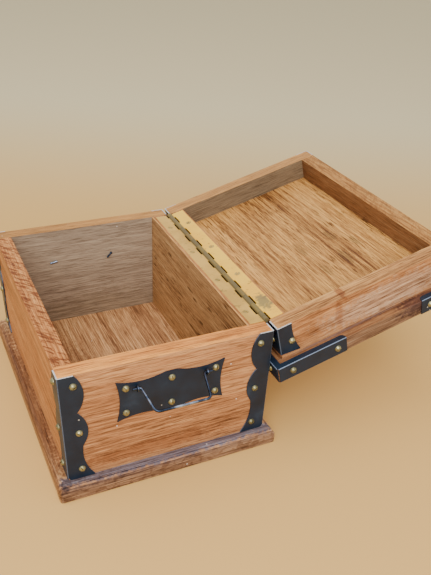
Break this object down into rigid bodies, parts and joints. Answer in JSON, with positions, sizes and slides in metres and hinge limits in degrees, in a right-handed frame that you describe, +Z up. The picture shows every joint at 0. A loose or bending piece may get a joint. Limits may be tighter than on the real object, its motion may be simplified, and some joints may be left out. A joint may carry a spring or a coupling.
{
  "type": "wooden puzzle box",
  "caption": "Wooden box with a hinged lid, moulded base, scalloped iron corner straps, bail handles, a loose lining and a hidden catch.",
  "frame": {"origin": "centre of the base board's underside", "axes": "+Z up; +X along the hinge, to the end with the near handle; -Y is the front and +Y the hinge side; the lid is open at rest"},
  "size_m": [0.272, 0.3454, 0.1475],
  "materials": {
    "tan_wood": "satin",
    "orange_wood": "satin",
    "grey_brown_wood": "matt",
    "base_wood": "satin",
    "lining_wood": "satin",
    "plain_wood": "matt",
    "strap_iron": "semi-matt",
    "dark_steel": "semi-gloss",
    "hinge_brass": "satin",
    "hinge_screw_brass": "satin",
    "magnet_steel": "gloss",
    "screw_brass": "aged satin"
  },
  "bodies": {
    "box": {"base_board": "base_wood", "end_wall_near": "tan_wood", "end_wall_far": "grey_brown_wood", "front_wall": "orange_wood", "back_wall": "orange_wood", "body_strap_near_front": "strap_iron", "body_strap_near_back": "strap_iron", "body_strap_far_front": "strap_iron", "body_strap_far_back": "strap_iron", "body_strap_screws": "screw_brass", "handle_plate_near": "strap_iron", "handle_plate_far": "strap_iron", "handle_plate_screws": "screw_brass", "split_pins_near": "dark_steel", "split_pins_far": "dark_steel", "hinge_leaf_body": "hinge_brass", "hinge_pin": "hinge_brass", "hinge_screws_body": "hinge_screw_brass", "base_screws": "screw_brass", "catch_guide_block": "plain_wood"},
    "lid": {"lid_board": "orange_wood", "lid_end_rail_near": "tan_wood", "lid_end_rail_far": "tan_wood", "lid_front_rail": "orange_wood", "lid_back_rail": "orange_wood", "lid_panel": "tan_wood", "lid_cleat_near": "plain_wood", "lid_cleat_far": "plain_wood", "lid_cleat_front": "plain_wood", "lid_cleat_back": "plain_wood", "rail_strap_near_front": "strap_iron", "rail_strap_near_back": "strap_iron", "rail_strap_far_front": "strap_iron", "rail_strap_far_back": "strap_iron", "rail_strap_screws": "screw_brass", "board_strap_near_front": "strap_iron", "board_strap_near_back": "strap_iron", "board_strap_far_front": "strap_iron", "board_strap_far_back": "strap_iron", "board_strap_screws": "screw_brass", "lid_magnet": "magnet_steel", "lid_magnet_plug": "plain_wood", "hinge_leaf_lid": "hinge_brass", "hinge_screws_lid": "hinge_screw_brass"},
    "lining": {"back_lining": "lining_wood"},
    "near_bail": {"bail_near": "dark_steel"},
    "far_bail": {"bail_far": "dark_steel"},
    "catch": {"catch_slider": "plain_wood", "catch_magnet": "magnet_steel"}
  },
  "joints": [
    {"name": "lid_hinge", "type": "hinge", "parent": "box", "child": "lid", "pos_m": [0, 0.08105, 0.1065], "axis": [-1, 0, 0], "range_deg": [-165, 0]},
    {"name": "near_bail_swing", "type": "hinge", "parent": "box", "child": "near_bail", "pos_m": [0.1146, 0, 0.0852], "axis": [0, -1, 0], "range_deg": [-69, 106]},
    {"name": "far_bail_swing", "type": "hinge", "parent": "box", "child": "far_bail", "pos_m": [-0.1146, -0.0035, 0.0762], "axis": [0, 1, 0], "range_deg": [-69, 106]},
    {"name": "lining_slide", "type": "slide", "parent": "box", "child": "lining", "axis": [0, 0, 1], "range_m": [0, 0.09]},
    {"name": "catch_slide", "type": "slide", "parent": "box", "child": "catch", "axis": [1, 0, 0], "range_m": [0, 0.035]}
  ]
}
